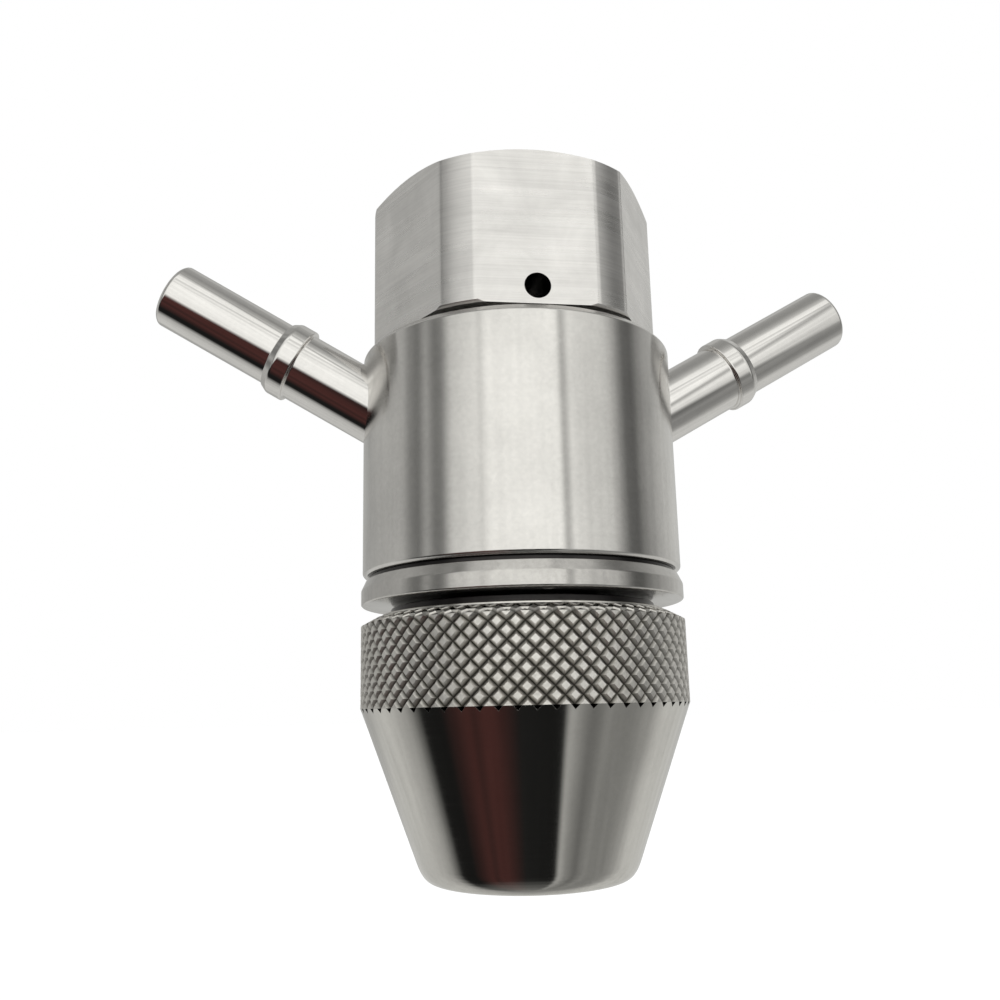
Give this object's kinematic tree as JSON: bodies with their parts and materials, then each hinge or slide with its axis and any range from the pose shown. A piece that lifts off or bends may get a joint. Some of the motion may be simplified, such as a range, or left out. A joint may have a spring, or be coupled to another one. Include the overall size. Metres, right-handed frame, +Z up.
{
  "type": "pneumatic capping head",
  "caption": "Air-operated capping head: hexagonal drive spindle, still barrel with two angled hose stems, and a knurled nose nut round a cap gripper.",
  "frame": {"origin": "centre of the nose's bottom face, where the head stands", "axes": "+Z up along the spindle axis, the two hose stems in the XZ plane, the weep hole's flat facing -Y"},
  "size_m": [0.1102, 0.048, 0.1021],
  "materials": {
    "turned_steel": "turned and milled satin stainless steel",
    "polished_steel": "polished stainless steel",
    "plain_steel": "turned stainless steel, as machined",
    "hardened_steel": "ground bearing steel",
    "spring_steel": "drawn spring wire",
    "piston_aluminium": "turned aluminium",
    "bronze": "turned bronze",
    "grip_rubber": "moulded brown rubber",
    "seal_rubber": "moulded black rubber",
    "white_acetal": "turned white plastic"
  },
  "bodies": {
    "barrel": {"barrel": "turned_steel", "left_hose_stem": "polished_steel", "right_hose_stem": "polished_steel", "end_cap": "turned_steel", "end_cap_oring": "seal_rubber", "hub_wiper": "seal_rubber", "upper_shaft_seal": "seal_rubber", "lower_shaft_seal": "seal_rubber", "lantern_ring": "bronze", "upper_bearing_outer_ring": "hardened_steel", "lower_bearing_outer_ring": "hardened_steel"},
    "spindle": {"drive_spindle": "turned_steel", "socket_washer": "white_acetal", "chuck_oring": "seal_rubber", "wear_sleeve": "hardened_steel", "upper_bearing_inner_ring": "hardened_steel", "lower_bearing_inner_ring": "hardened_steel", "chuck_body": "plain_steel", "cylinder_end_ring": "plain_steel", "cylinder_circlip": "spring_steel", "piston_return_spring": "spring_steel"},
    "upper_cage": {"upper_bearing_cage": "bronze", "upper_bearing_balls": "hardened_steel"},
    "lower_cage": {"lower_bearing_cage": "bronze", "lower_bearing_balls": "hardened_steel"},
    "piston": {"piston": "piston_aluminium", "piston_oring": "seal_rubber", "push_sleeve": "plain_steel", "pressure_washer": "plain_steel", "ejector_spring": "spring_steel"},
    "ejector": {"ejector_plunger": "white_acetal", "ejector_pad": "grip_rubber"},
    "grip": {"grip_ring": "grip_rubber", "slip_washer": "bronze"},
    "nose_nut": {"nose_nut": "turned_steel"}
  },
  "joints": [
    {"name": "spindle_spin", "type": "hinge", "parent": "barrel", "child": "spindle", "pos_m": [0, 0, 0], "axis": [0, 0, 1], "continuous": true},
    {"name": "upper_cage_spin", "type": "hinge", "parent": "barrel", "child": "upper_cage", "pos_m": [0, 0, 0], "axis": [0, 0, 1], "continuous": true},
    {"name": "lower_cage_spin", "type": "hinge", "parent": "barrel", "child": "lower_cage", "pos_m": [0, 0, 0], "axis": [0, 0, 1], "continuous": true},
    {"name": "piston_stroke", "type": "slide", "parent": "spindle", "child": "piston", "axis": [0, 0, -1], "range_m": [0, 0.0025], "stiffness_N_per_m": 16000, "springref_m": -0.001, "deforming": ["piston_return_spring", "grip_ring"]},
    {"name": "ejector_travel", "type": "slide", "parent": "piston", "child": "ejector", "axis": [0, 0, 1], "range_m": [0, 0.004], "stiffness_N_per_m": 900, "springref_m": -0.004, "deforming": ["ejector_spring"]},
    {"name": "grip_travel", "type": "slide", "parent": "spindle", "child": "grip", "axis": [0, 0, -1], "range_m": [0, 0.0105]},
    {"name": "nut_turn", "type": "hinge", "parent": "grip", "child": "nose_nut", "pos_m": [0, 0, 0], "axis": [0, 0, -1], "range_deg": [0, 2520]}
  ],
  "couplings": [
    {"joint": "upper_cage_spin", "follows": "spindle_spin", "ratio": 0.45745},
    {"joint": "lower_cage_spin", "follows": "spindle_spin", "ratio": 0.45745},
    {"joint": "grip_travel", "follows": "nut_turn", "m_per_rad": 0.00023873}
  ]
}
